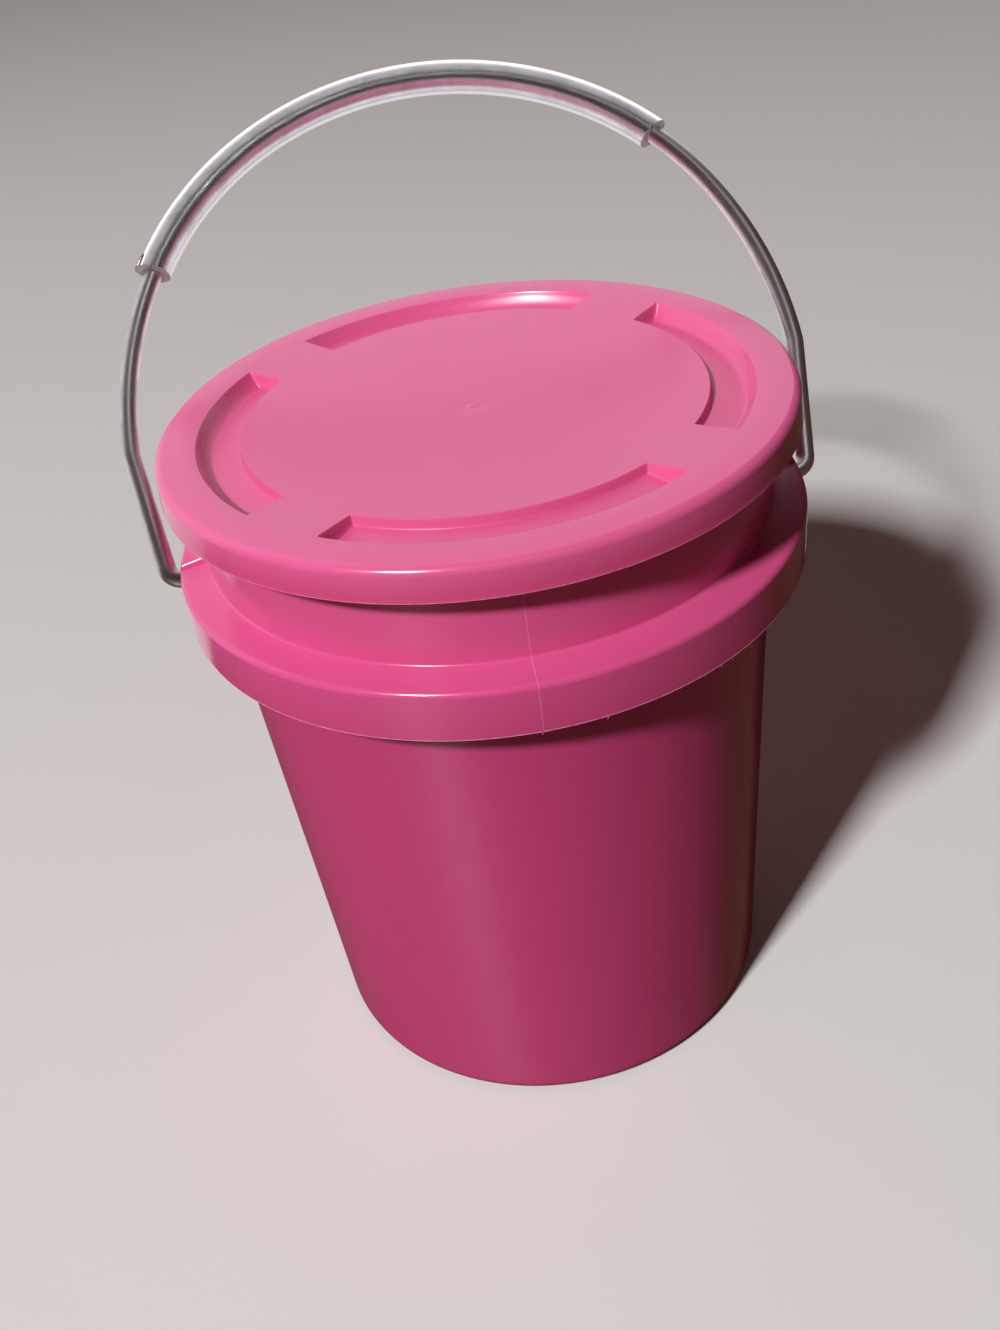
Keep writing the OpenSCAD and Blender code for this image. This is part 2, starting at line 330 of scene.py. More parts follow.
class Nodes:
    """A material's node tree, with short ways to add and join nodes."""

    def __init__(self, name):
        self.material = bpy.data.materials.new(name)
        self.material.use_nodes = True
        self.tree = self.material.node_tree
        self.tree.nodes.clear()
        self.output = self.add("ShaderNodeOutputMaterial")

    def add(self, kind, values=None, **settings):
        node = self.tree.nodes.new(kind)
        for key, value in settings.items():
            setattr(node, key, value)
        for key, value in (values or {}).items():
            socket = node.inputs[key]
            if isinstance(value, bpy.types.NodeSocket):
                self.tree.links.new(value, socket)
            else:
                socket.default_value = value
        return node

    def place(self):
        return self.add("ShaderNodeTexCoord").outputs["Object"]

    def stretched(self, scale):
        return self.add("ShaderNodeMapping", {"Vector": self.place(), "Scale": scale}).outputs["Vector"]

    def noise(self, scale, detail=2.0, roughness=0.5, vector=None):
        values = {"Vector": vector or self.place(), "Scale": scale, "Detail": detail, "Roughness": roughness}
        return self.add("ShaderNodeTexNoise", values).outputs["Fac"]

    def ranged(self, value, low, high, out_low, out_high):
        values = {"Value": value, "From Min": low, "From Max": high, "To Min": out_low, "To Max": out_high}
        return self.add("ShaderNodeMapRange", values).outputs["Result"]

    def sum(self, first, second, operation="ADD"):
        return self.add("ShaderNodeMath", {0: first, 1: second}, operation=operation).outputs["Value"]

    def mixed(self, share, first, second):
        node = self.add("ShaderNodeMix", data_type="RGBA")
        for socket, value in ((node.inputs[0], share), (node.inputs[6], first), (node.inputs[7], second)):
            if isinstance(value, bpy.types.NodeSocket):
                self.tree.links.new(value, socket)
            else:
                socket.default_value = value
        return node.outputs[2]

    def times(self, first, second):
        return self.sum(first, second, "MULTIPLY")

    def along_wire(self, scale):
        """Vector that follows the wire, stretched by a scale."""
        place = self.add("ShaderNodeAttribute", attribute_name="wire_place").outputs["Vector"]
        return self.add("ShaderNodeMapping", {"Vector": place, "Scale": scale}).outputs["Vector"]

    def bump(self, height, distance, strength=1.0, normal=None):
        values = {"Height": height, "Distance": distance, "Strength": strength}
        if normal is not None:
            values["Normal"] = normal
        return self.add("ShaderNodeBump", values).outputs["Normal"]

    def surface(self, values):
        shader = self.add("ShaderNodeBsdfPrincipled", values)
        self.tree.links.new(shader.outputs["BSDF"], self.output.inputs["Surface"])
        return self.material


def opaque(rgb):
    return (*rgb, 1.0)


def pink_plastic(name, base_rgb, painted_shade_rgb, shade_below, lit_above, roughness, gloss, flash_z, seam_above):
    """Glossy injection-moulded plastic: faint flow marks, soft waves, and a painted highlight along the parting line
    and the flash edge.

    The colour is painted deeper and darker from lit_above down to shade_below as painted shade, and the lid's recesses
    are more matt than the rest.
    """
    lid = settings("lid")
    recess_inner = lid.recess_inner / 2
    recess_outer = lid.recess_outer / 2
    flash_radius = lid.width / 2 - 0.65 * MM
    nodes = Nodes(name)
    place = nodes.add("ShaderNodeSeparateXYZ", {"Vector": nodes.place()})
    height = place.outputs["Z"]
    flat = nodes.add("ShaderNodeVectorMath", {0: nodes.place(), 1: (1, 1, 0)}, operation="MULTIPLY")
    radius = nodes.add("ShaderNodeVectorMath", {0: flat.outputs["Vector"]}, operation="LENGTH").outputs["Value"]

    flow = nodes.noise(38, 3, 0.6, nodes.stretched((1, 1, 0.35)))
    cloud = nodes.noise(140, 2)
    depth = nodes.sum(nodes.ranged(flow, 0, 1, -0.12, 0.12), nodes.ranged(cloud, 0, 1, -0.05, 0.05))
    # Painted shade: the height ramp below makes the colour deeper and darker lower down. The flow and cloud noise
    # above are the plastic's own uneven tone.
    depth = nodes.sum(depth, nodes.ranged(height, shade_below, lit_above, 1, 0))
    base = nodes.mixed(depth, opaque(base_rgb), opaque(painted_shade_rgb))

    # Painted highlight: masks for a thin paler stripe along the parting line and the flash, broken up by noise, in
    # place of the light these ridges catch.
    from_seam = nodes.sum(place.outputs["X"], 0.0, "ABSOLUTE")
    seam = nodes.times(
        nodes.ranged(from_seam, 0.03 * MM, 0.09 * MM, 0.38, 0),
        nodes.ranged(height, seam_above, seam_above + 0.1 * MM, 0, 1),
    )
    flash = nodes.times(
        nodes.ranged(height, flash_z + 0.07 * MM, flash_z + 0.15 * MM, 0.5, 0),
        nodes.ranged(radius, flash_radius, flash_radius + 0.3 * MM, 0, 1),
    )
    broken = nodes.ranged(nodes.noise(900, 3, 0.6), 0.35, 0.6, 0.35, 1)
    painted_glint = nodes.times(nodes.sum(seam, flash, "MAXIMUM"), broken)
    base = nodes.mixed(painted_glint, base, opaque(settings("colours").painted_glint))

    handled = nodes.noise(90, 3, 0.55)
    rough = nodes.sum(nodes.ranged(handled, 0, 1, -0.04, 0.04), roughness)
    matt = 0.12
    ring = nodes.times(
        nodes.ranged(radius, recess_inner - 0.5 * MM, recess_inner - 0.1 * MM, 0, 1),
        nodes.ranged(radius, recess_outer + 0.1 * MM, recess_outer + 0.4 * MM, 1, 0),
    )
    level = nodes.times(
        nodes.ranged(height, lid.top - 4.48 * MM, lid.top - 3.98 * MM, 0, 1),
        nodes.ranged(height, lid.top - 1.08 * MM, lid.top - 0.58 * MM, matt, 0),
    )
    rough = nodes.sum(rough, nodes.times(ring, level))
    peel = nodes.noise(700, 2, 0.45)
    return nodes.surface(
        {
            "Base Color": base,
            "Roughness": rough,
            "IOR": 1.5,
            "Specular IOR Level": gloss,
            "Subsurface Weight": 0.1,
            "Subsurface Radius": (1.0, 0.2, 0.35),
            "Subsurface Scale": 0.0012,
            "Normal": nodes.bump(peel, 0.002 * MM, 0.5),
        }
    )


def zinc_wire(name):
    """Galvanised steel wire: drawn lines along it and duller patches in the zinc."""
    finish = settings("colours")
    nodes = Nodes(name)
    lines = nodes.noise(1.0, 3, 0.6, nodes.along_wire((90, 2600, 2600)))
    patches = nodes.noise(260, 4, 0.65)
    spots = nodes.noise(1400, 2)
    dull = nodes.sum(nodes.ranged(patches, 0.42, 0.68, 0, 0.5), nodes.ranged(spots, 0.55, 0.75, 0, 0.2))
    base = nodes.mixed(dull, opaque(finish.zinc), opaque(finish.zinc_dull))
    rough = nodes.sum(nodes.ranged(patches, 0.3, 0.7, 0.28, 0.38), nodes.ranged(lines, 0.35, 0.65, 0, 0.08))
    normal = nodes.bump(lines, 0.00001, 0.3)
    normal = nodes.bump(spots, 0.00001, 0.3, normal)
    return nodes.surface({"Base Color": base, "Metallic": 1.0, "Roughness": rough, "Normal": normal})


def hazy_cut(name):
    """Cut end of the clear tube, whitened by the blade."""
    nodes = Nodes(name)
    marks = nodes.noise(2500, 3, 0.6, nodes.stretched((1, 0.3, 1)))
    base = nodes.mixed(nodes.ranged(marks, 0.3, 0.7, 0, 1), (0.86, 0.89, 0.89, 1), (0.68, 0.71, 0.72, 1))
    return nodes.surface(
        {
            "Base Color": base,
            "Roughness": nodes.ranged(marks, 0.3, 0.7, 0.3, 0.5),
            "Transmission Weight": 0.3,
            "Normal": nodes.bump(marks, 0.00003, 0.5),
        }
    )


def clear_tube(name):
    """Clear soft plastic tube with faint haze and extrusion lines along it."""
    finish = settings("colours")
    nodes = Nodes(name)
    lines = nodes.noise(1.0, 2, 0.5, nodes.along_wire((60, 1500, 1500)))
    haze = nodes.noise(300, 3, 0.6)
    tint = nodes.mixed(nodes.ranged(haze, 0.3, 0.7, 0, 0.5), opaque(finish.clear), (0.86, 0.88, 0.89, 1))
    rough = nodes.ranged(haze, 0.3, 0.75, 0.03, 0.09)
    normal = nodes.bump(lines, 0.00002, 0.4)
    return nodes.surface(
        {"Base Color": tint, "Roughness": rough, "IOR": 1.24, "Transmission Weight": 1.0, "Normal": normal}
    )


def pale_paper(name):
    """Evenly glowing pale paper for the backdrop."""
    nodes = Nodes(name)
    grain = nodes.noise(3, 2)
    tint = nodes.mixed(nodes.ranged(grain, 0.3, 0.7, 0, 1), (0.34, 0.335, 0.33, 1), (0.30, 0.295, 0.29, 1))
    return nodes.surface(
        {"Base Color": (0, 0, 0, 1), "Emission Color": tint, "Emission Strength": 1.0, "Roughness": 1.0}
    )


def matte_floor(name):
    """Plain pale floor with a hardly visible grain."""
    finish = settings("colours")
    nodes = Nodes(name)
    grain = nodes.noise(60, 5, 0.6)
    base = nodes.mixed(nodes.ranged(grain, 0.3, 0.7, 0, 0.08), opaque(finish.floor), (0.74, 0.735, 0.74, 1))
    return nodes.surface({"Base Color": base, "Roughness": 0.75, "Normal": nodes.bump(grain, 0.0002, 0.1)})


def dark_card(name):
    """Dark warm card that the pail's underside and sides reflect, out of the camera's sight."""
    nodes = Nodes(name)
    grain = nodes.noise(25, 4, 0.6, nodes.stretched((0.3, 2.5, 1)))
    base = nodes.mixed(nodes.ranged(grain, 0.25, 0.75, 0, 1), (0.10, 0.060, 0.036, 1), (0.20, 0.125, 0.078, 1))
    return nodes.surface({"Base Color": base, "Roughness": 0.38})


def dress(piece, material):
    piece.data.materials.clear()
    piece.data.materials.append(material)


# Pieces


class FAVORPAIL_OT_pail(bpy.types.Operator):
    """Models the pail: foot, tapered wall, collar with two bosses, neck, rim, parting line and flash"""

    bl_idname = "favorpail.pail"
    bl_label = "Pail"
    bl_options = {"REGISTER", "UNDO"}

    def execute(self, context):
        s = settings("pail")
        neck = s.neck_width / 2
        base = s.base_width / 2
        collar = s.collar_width / 2
        edge_z = s.collar_root - s.collar_slope
        low_z = edge_z - s.collar_skirt
        draft = math.atan((neck - base) / s.collar_root)
        foot = base - s.foot_round * (1 - math.sin(draft)) / math.cos(draft)
        ring = foot - 2.0 * MM
        recess = 0.8 * MM
        floor_z = recess + 1.6 * MM
        rim = neck + 0.3 * MM
        lip = rim + 2.0 * MM
        lip_z = s.height - 1.8 * MM
        mouth = rim - s.wall
        lip_edge = 0.4 * MM
        under_z = s.collar_root - s.wall - 0.11 * MM
        under = base + (neck - base) * under_z / s.collar_root
        inner_round = s.foot_round - s.wall / 2
        inner_base = base + (neck - base) * floor_z / s.collar_root - s.wall
        edge = collar - 0.2 * MM
        skirt_t = 1.1 * MM
        flash = s.flash
        section = [(0, recess), (ring - recess, recess), (ring, 0)]
        section += arc(foot, s.foot_round, s.foot_round, -90, -math.degrees(draft), 10)
        wall_steps = 12
        top_of_foot = section[-1]
        for step in range(1, wall_steps):
            share = step / wall_steps
            section.append(
                (
                    top_of_foot[0] + (under - top_of_foot[0]) * share,
                    top_of_foot[1] + (under_z - top_of_foot[1]) * share,
                )
            )
        section += [(under, under_z), (collar - s.wall, edge_z - s.wall), (edge - skirt_t, low_z)]
        section += [(edge + flash * 0.6, low_z), (edge, low_z + flash)]
        section += arc(collar - s.collar_round, edge_z - s.collar_round + 0.2 * MM, s.collar_round, 0, 80, 8)
        section += [(neck + 1.6 * MM, s.collar_root - 0.33 * MM), (neck, s.collar_root), (neck + 0.1 * MM, 91 * MM)]
        section += [(rim, lip_z - 1.0 * MM), (rim + 1.0 * MM, lip_z), (lip, lip_z), (lip, s.height - lip_edge)]
        section += [(lip - lip_edge, s.height), (mouth + lip_edge, s.height), (mouth, s.height - lip_edge)]
        section += [(neck - s.wall, s.collar_root), (inner_base + 2.2 * MM, 45 * MM)]
        section += arc(inner_base - inner_round, floor_z + inner_round, inner_round, 0, -90, 6)
        section += [(0, floor_z)]
        pail = turned("pail_shell", section)
        round_ring(neck, s.collar_root, 0.35 * MM)
        round_ring(ring, 0, 0.25 * MM, 2)
        bpy.ops.object.mode_set(mode="OBJECT")

        pivot_z = settings("bail").pivot
        hole = settings("bail").wire / 2 + 0.07 * MM
        boss_low = pivot_z - s.boss_width / 2
        boss_top = edge_z + s.boss_rise
        boss_in = neck - 0.5 * MM
        boss_out = collar - skirt_t / 2
        hole_in = 41.75 * MM
        for side in (1, -1):
            clear_selection()
            bpy.ops.mesh.primitive_cube_add(
                size=1,
                location=(side * (boss_in + boss_out) / 2, 0, (boss_low + boss_top) / 2),
                scale=(boss_out - boss_in, s.boss_width, boss_top - boss_low),
            )
            boss = bpy.context.object
            settle()
            bpy.ops.object.mode_set(mode="EDIT")
            pick("VERT", lambda v: v.co.z > pivot_z and abs(v.co.x) < neck)
            bpy.ops.transform.translate(value=(0, 0, s.boss_fall))
            pick("EDGE", lambda e: all(p.z > boss_top - 0.01 * MM for p in corners(e)))
            bpy.ops.mesh.bevel(offset=0.45 * MM, segments=6, profile=0.5, affect="EDGES")
            bpy.ops.object.mode_set(mode="OBJECT")
            combine(pail, boss, "UNION")
            clear_selection()
            bpy.ops.mesh.primitive_cylinder_add(
                vertices=48,
                radius=hole,
                depth=collar + 0.5 * MM - hole_in,
                location=(side * (collar + 0.5 * MM + hole_in) / 2, 0, pivot_z),
                rotation=(0, math.pi / 2, 0),
            )
            drill = bpy.context.object
            settle()
            combine(pail, drill, "DIFFERENCE")

        only(pail)
        bpy.ops.object.mode_set(mode="EDIT")
        for side in (1, -1):
            bpy.ops.mesh.select_all(action="SELECT")
            bpy.ops.mesh.bisect(plane_co=(side * s.seam_width, 0, 0), plane_no=(1, 0, 0))
        for side in (1, -1):

            def on_seam(vert):
                p = vert.co
                outside = abs(p.y) > base and p.z > low_z - 0.5 * MM
                return abs(p.x) < 0.004 * MM and p.y * side > 0 and outside and vert.normal.y * side > 0.2

            pick("VERT", on_seam)
            bpy.ops.transform.translate(value=(0, side * s.seam_height, 0))
        bpy.ops.object.mode_set(mode="OBJECT")
        draw = random.Random(WHISKER_SEED)
        whiskers = []
        for degrees in WHISKERS:
            clear_selection()
            reach = draw.uniform(0.35, 0.9) * MM
            turn = math.radians(degrees)
            out = edge - 0.1 * MM
            bpy.ops.mesh.primitive_cone_add(
                vertices=6,
                radius1=draw.uniform(0.08, 0.14) * MM,
                radius2=0.015 * MM,
                depth=reach,
                location=(out * math.cos(turn), out * math.sin(turn), low_z - reach * 0.4),
                rotation=(math.pi + draw.uniform(-0.5, 0.5), draw.uniform(-0.7, 0.7), turn),
            )
            settle()
            whiskers.append(bpy.context.object)
        only(pail)
        for whisker in whiskers:
            whisker.select_set(True)
        bpy.ops.object.join()
        finish_piece(pail)
        look = settings("colours")
        # Painted shade deepens the colour from the collar down the wall. A painted highlight lies along the parting
        # line and the flash edge.
        plastic = pink_plastic(
            "pail_plastic_look",
            look.pail_pink,
            look.pail_pink_painted_shade,
            shade_below=76 * MM,
            lit_above=88 * MM,
            roughness=0.2,
            gloss=0.45,
            flash_z=low_z,
            seam_above=low_z,
        )
        dress(pail, plastic)
        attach(pail, "pail_body")
        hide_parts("pail")
        return {"FINISHED"}


class FAVORPAIL_OT_lid(bpy.types.Operator):
    """Models the lid: top with arc recesses, crowned rim, skirt, plug ring and gate mark"""

    bl_idname = "favorpail.lid"
    bl_label = "Lid"
    bl_options = {"REGISTER", "UNDO"}

    def execute(self, context):
        s = settings("lid")
        outer = s.width / 2
        top = s.top
        under = top - s.thickness
        low = top - s.skirt
        draft = 0.2 * MM
        skirt_t = 0.9 * MM
        plug = 38.95 * MM
        plug_t = 1.2 * MM
        plug_low = under - 4 * MM
        recess_outer = s.recess_outer / 2
        recess_inner = s.recess_inner / 2
        rim_mid = (recess_outer + outer - s.edge_round) / 2
        flash = 0.09 * MM
        spacing = TURN / s.recess_count
        half = s.recess_span / 2
        wide = half + s.recess_end_slant + math.radians(0.3)
        fine = wide - math.radians(3.2)
        turns = []
        for number in range(s.recess_count):
            middle = number * spacing
            for low_turn, high_turn, steps in (
                (middle - wide, middle - fine, 26),
                (middle - fine, middle + fine, 46),
                (middle + fine, middle + wide, 26),
                (middle + wide, middle + spacing - wide, 14),
            ):
                turns += [(low_turn + (high_turn - low_turn) * step / steps) % TURN for step in range(steps)]

        section = [(0, top), (0.5 * MM, top)]
        middle_rings = (0.8, 1.1, 1.4, 1.7, 2, 2.4, 2.8, 3.3, 4, 6, 10, 16, 22, 27, 30, 31.5)
        section += [(radius * MM, top) for radius in middle_rings]
        section += [(recess_inner - 0.2 * MM, top)]
        section += [(recess_inner + 0.032 * MM * step, top) for step in range(-4, 14)]
        floor_rings = (32.8, 32.95, 33.1, 33.4, 33.8, 34.3, 34.9, 35.5, 36.0, 36.4)
        section += [(radius * MM, top) for radius in floor_rings]
        section += [(36.65 * MM + 0.13 * MM * step, top) for step in range(10)]
        section += [(38.0 * MM + 0.07 * MM * step, top) for step in range(10)]
        section += [(39.0 * MM, top + s.crown * 0.3), (39.8 * MM, top + s.crown * 0.8), (rim_mid, top + s.crown)]
        section += arc(outer - draft - s.edge_round, top - s.edge_round, s.edge_round, 90, 0, 12)
        section += [(outer - draft * 0.6, top - 2.4 * MM), (outer - draft * 0.2, top - 3.7 * MM)]
        section += [(outer - 0.03 * MM, low + 2 * flash), (outer, low + flash), (outer, low), (outer - 0.12 * MM, low)]
        section += [(outer - 0.15 * MM, low + 0.06 * MM), (outer - skirt_t, low + 0.02 * MM)]
        section += [(outer - skirt_t - draft, under), (plug, under), (plug, plug_low + plug_t / 2)]
        section += [(plug - plug_t / 2, plug_low), (plug - plug_t, plug_low), (plug - plug_t, under)]
        pan_in = recess_inner - 1.1 * MM
        pan_drop = 1.0 * MM
        section += [(pan_in, under), (20 * MM, under), (8 * MM, under), (0, under)]
        lid = turned("lid_shell", section, turns)

        def off_centre(point):
            """Angle from the middle of the nearest recess."""
            return (azimuth(point) + spacing / 2) % spacing - spacing / 2

        def fall(distance, run, profile):
            """Share of the full depth at a distance inwards from a wall's upper edge."""
            share = distance / run
            for (near, high), (far, low_share) in zip(profile, profile[1:]):
                if share <= far:
                    return high + (low_share - high) * max(share - near, 0) / (far - near)
            return 1.0

        def smooth_fall(start, power, steps=60):
            """Profile of a wall: a short rounding above, then a hollow that flattens out towards the floor."""
            profile = []
            for step in range(steps + 1):
                share = step / steps
                early = share**2 / (2 * start) if share < start else share - start / 2
                profile.append((share, 1 - (1 - early / (1 - start / 2)) ** power))
            return profile

        outer_profile = smooth_fall(0.08, 1.8)
        inner_profile = smooth_fall(0.42, 3.0)
        end_profile = smooth_fall(0.2, 3.0)

        def recess_depth_at(point):
            """Depth of a recess at a place on the lid's top."""
            radius = point.xy.length
            reach = half + s.recess_end_slant * (radius - recess_inner) / (recess_outer - recess_inner)
            from_end = (reach - abs(off_centre(point))) * radius
            outer_wall = fall(recess_outer + 0.06 * MM - radius, s.recess_outer_run, outer_profile)
            inner_wall = fall(radius - recess_inner + 0.08 * MM, s.recess_inner_run, inner_profile)
            end_wall = fall(from_end, s.recess_end_run, end_profile)
            outwards = min(max((radius - recess_inner) / (recess_outer - s.recess_outer_run - recess_inner), 0), 1)
            return (s.recess_depth + s.recess_fall * outwards) * outer_wall * inner_wall * end_wall

        def dish_fall(radius):
            """Depth of the dish at a radius, with a soft start inside the rim."""
            share = 1 - (radius / recess_outer) ** 2
            return s.dish * share**1.5 / math.sqrt(share + 0.02) if share > 0 else 0.0

        pick("VERT", lambda v: v.co.xy.length < recess_outer + 0.2 * MM and v.co.z > under - 0.01 * MM)
        for vert in (v for v in edited().verts if v.select):
            depth = dish_fall(vert.co.xy.length)
            if abs(vert.co.z - top) < 0.01 * MM:
                depth += recess_depth_at(vert.co)
            vert.co.z -= depth
        bpy.ops.mesh.select_mode(type="FACE")

        def in_pan(face):
            p = face.calc_center_median()
            below = p.z < under + 0.05 * MM and face.normal.z < -0.9 and p.z > under - s.dish
            return below and pan_in < p.xy.length < plug - plug_t and abs(off_centre(p)) < wide

        pick("FACE", in_pan)
        bpy.ops.mesh.extrude_region_move(TRANSFORM_OT_translate={"value": (0, 0, -pan_drop)})
        edited().normal_update()

        gate_place = Vector((-0.35, 0.35)) * MM
        dip, dip_width = 0.26 * MM, 1.25 * MM
        stub, stub_width = 0.42 * MM, 0.7 * MM
        pick("VERT", lambda v: v.co.z > under - s.dish + 0.5 * MM and v.co.xy.length < 7 * MM)
        for vert in (v for v in edited().verts if v.select):
            away = (vert.co.xy - gate_place).length
            vert.co.z -= dip * math.exp(-((away / dip_width) ** 2))
            vert.co.z += stub * math.exp(-((away / stub_width) ** 2))
        bpy.ops.mesh.select_all(action="SELECT")
        bpy.ops.mesh.normals_make_consistent(inside=False)
        bpy.ops.object.mode_set(mode="OBJECT")
        finish_piece(lid, weighted=False)
        look = settings("colours")
        # Painted shade deepens the colour in the recesses and on the skirt. A painted highlight lies along the skirt's
        # lower edge.
        plastic = pink_plastic(
            "lid_plastic_look",
            look.lid_pink,
            look.lid_pink_painted_shade,
            shade_below=98 * MM,
            lit_above=103 * MM,
            roughness=0.21,
            gloss=0.5,
            flash_z=low,
            seam_above=top + 1 * MM,
        )
        dress(lid, plastic)
        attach(lid, "lid_body")
        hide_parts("lid")
        return {"FINISHED"}


def bail_route():
    """The bail's bends, upright, from its left foot to its right one: centre x, centre z, radius and headings.

    A heading is measured from the top, clockwise as seen from the front.
    """
    s = settings("bail")
    top = s.top_arc
    rise = s.rise - s.shoulder
    sine, cosine = math.sin(top), math.cos(top)
    share = sine * cosine - (1 - sine) * (1 - cosine)
    top_r = (s.half_width * cosine - (1 - sine) * rise) / share
    side_r = (sine * rise - (1 - cosine) * s.half_width) / share
    shoulder_r = 10 * MM
    foot_r = 2.2 * MM
    pin_x = 45.15 * MM
    shift = s.half_width - shoulder_r - pin_x
    drop = s.shoulder - foot_r
    gap = math.hypot(shift, drop)
    leg = math.pi / 2 + math.atan2(shift, drop) + math.asin((shoulder_r - foot_r) / gap)
    leg_length = math.sqrt(gap**2 - (shoulder_r - foot_r) ** 2)
    side_x = s.half_width - side_r
    right = [
        (side_x, s.shoulder, side_r, top, math.pi / 2),
        (s.half_width - shoulder_r, s.shoulder, shoulder_r, math.pi / 2, leg),
        (pin_x, foot_r, foot_r, leg, math.pi),
    ]
    left = [(-x, z, r, -end, -start) for x, z, r, start, end in reversed(right)]
    return left + [(0, s.rise - top_r, top_r, -top, top)] + right, leg_length


def at_heading(centre_x, centre_z, radius, heading):
    return Vector((centre_x + radius * math.sin(heading), 0, centre_z + radius * math.cos(heading)))


def spin_bend(centre_x, centre_z, radius, start, end, step_length):
    """Carries the selected ring along one bend of the bail."""
    steps = max(4, round(radius * (end - start) / step_length))
    bpy.ops.mesh.spin(
        steps=steps, dupli=False, angle=end - start, center=(centre_x, 0, centre_z), axis=(0, -1, 0)
    )
    selected = [v.co for v in edited().verts if v.select]
    middle = sum(selected, Vector()) / len(selected)
    if (middle - at_heading(centre_x, centre_z, radius, end)).length > 0.1 * MM:
        raise RuntimeError("the wire was bent the wrong way")


def lean_back(piece):
    s = settings("bail")
    only(piece)
    piece.rotation_euler = (-s.lean, 0, 0)
    piece.location = (0, 0, s.pivot)
    settle()


def store_wire_place(piece):
    """Stores each vertex's place along and around the wire, for finishes that follow it."""
    bends, _ = bail_route()
    route, travelled = [], 0.0
    last = None
    for x, z, r, start, end in bends:
        steps = 60
        for step in range(steps + 1):
            heading = start + (end - start) * step / steps
            spot = at_heading(x, z, r, heading)
            travelled += (spot - last).length if last else 0.0
            route.append((spot, travelled, heading))
            last = spot
    tree = KDTree(len(route))
    for index, (spot, _, _) in enumerate(route):
        tree.insert(spot, index)
    tree.balance()
    values = []
    for vert in piece.data.vertices:
        _, index, _ = tree.find(vert.co)
        spot, along, heading = route[index]
        out = Vector((math.sin(heading), 0, math.cos(heading)))
        away = vert.co - spot
        values += [along, away.dot(out), away.y]
    attribute = piece.data.attributes.new("wire_place", "FLOAT_VECTOR", "POINT")
    attribute.data.foreach_set("vector", values)


class FAVORPAIL_OT_bail(bpy.types.Operator):
    """Models the bail: one wire bent along its arcs, with both ends turned into the collar"""

    bl_idname = "favorpail.bail"
    bl_label = "Bail"
    bl_options = {"REGISTER", "UNDO"}

    def execute(self, context):
        s = settings("bail")
        bends, leg_length = bail_route()
        pin_length = 3.1 * MM
        pin_x = bends[0][0]
        radius = s.wire / 2
        clear_selection()
        bpy.ops.mesh.primitive_circle_add(
            vertices=40,
            radius=radius,
            fill_type="TRIFAN",
            location=(pin_x + pin_length, 0, 0),
            rotation=(0, -math.pi / 2, 0),
        )
        wire = bpy.context.object
        wire.name = "bail_wire"
        wire.data.name = "bail_wire"
        settle()
        bpy.ops.object.mode_set(mode="EDIT")
        pick("EDGE", lambda e: all(Vector((0, p.y, p.z)).length > radius * 0.9 for p in corners(e)))
        bpy.ops.mesh.extrude_edges_move(TRANSFORM_OT_translate={"value": (-pin_length, 0, 0)})
        for number, bend in enumerate(bends):
            spin_bend(*bend, step_length=1.1 * MM if bend[2] > 20 * MM else 0.5 * MM)
            if number in (0, len(bends) - 2):
                heading = bend[4]
                run = Vector((math.cos(heading), 0, -math.sin(heading))) * leg_length
                bpy.ops.mesh.extrude_edges_move(TRANSFORM_OT_translate={"value": run})
        bpy.ops.mesh.extrude_edges_move(TRANSFORM_OT_translate={"value": (-pin_length, 0, 0)})
        bpy.ops.mesh.edge_face_add()
        bpy.ops.mesh.poke()
        bpy.ops.mesh.select_all(action="SELECT")
        bpy.ops.mesh.remove_doubles(threshold=0.01 * MM)
        bpy.ops.mesh.normals_make_consistent(inside=False)
        ends = abs(pin_x) - pin_length

        def on_end(edge):
            return all(abs(abs(p.x) - ends) < 0.01 * MM and p.yz.length > radius * 0.9 for p in corners(edge))

        pick("EDGE", on_end)
        bpy.ops.mesh.bevel(offset=0.2 * MM, segments=2, affect="EDGES")
        bpy.ops.object.mode_set(mode="OBJECT")
        store_wire_place(wire)
        lean_back(wire)
        finish_piece(wire, 50)
        dress(wire, zinc_wire("bail_wire_look"))
        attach(wire, "bail_body")
        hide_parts("bail")
        return {"FINISHED"}


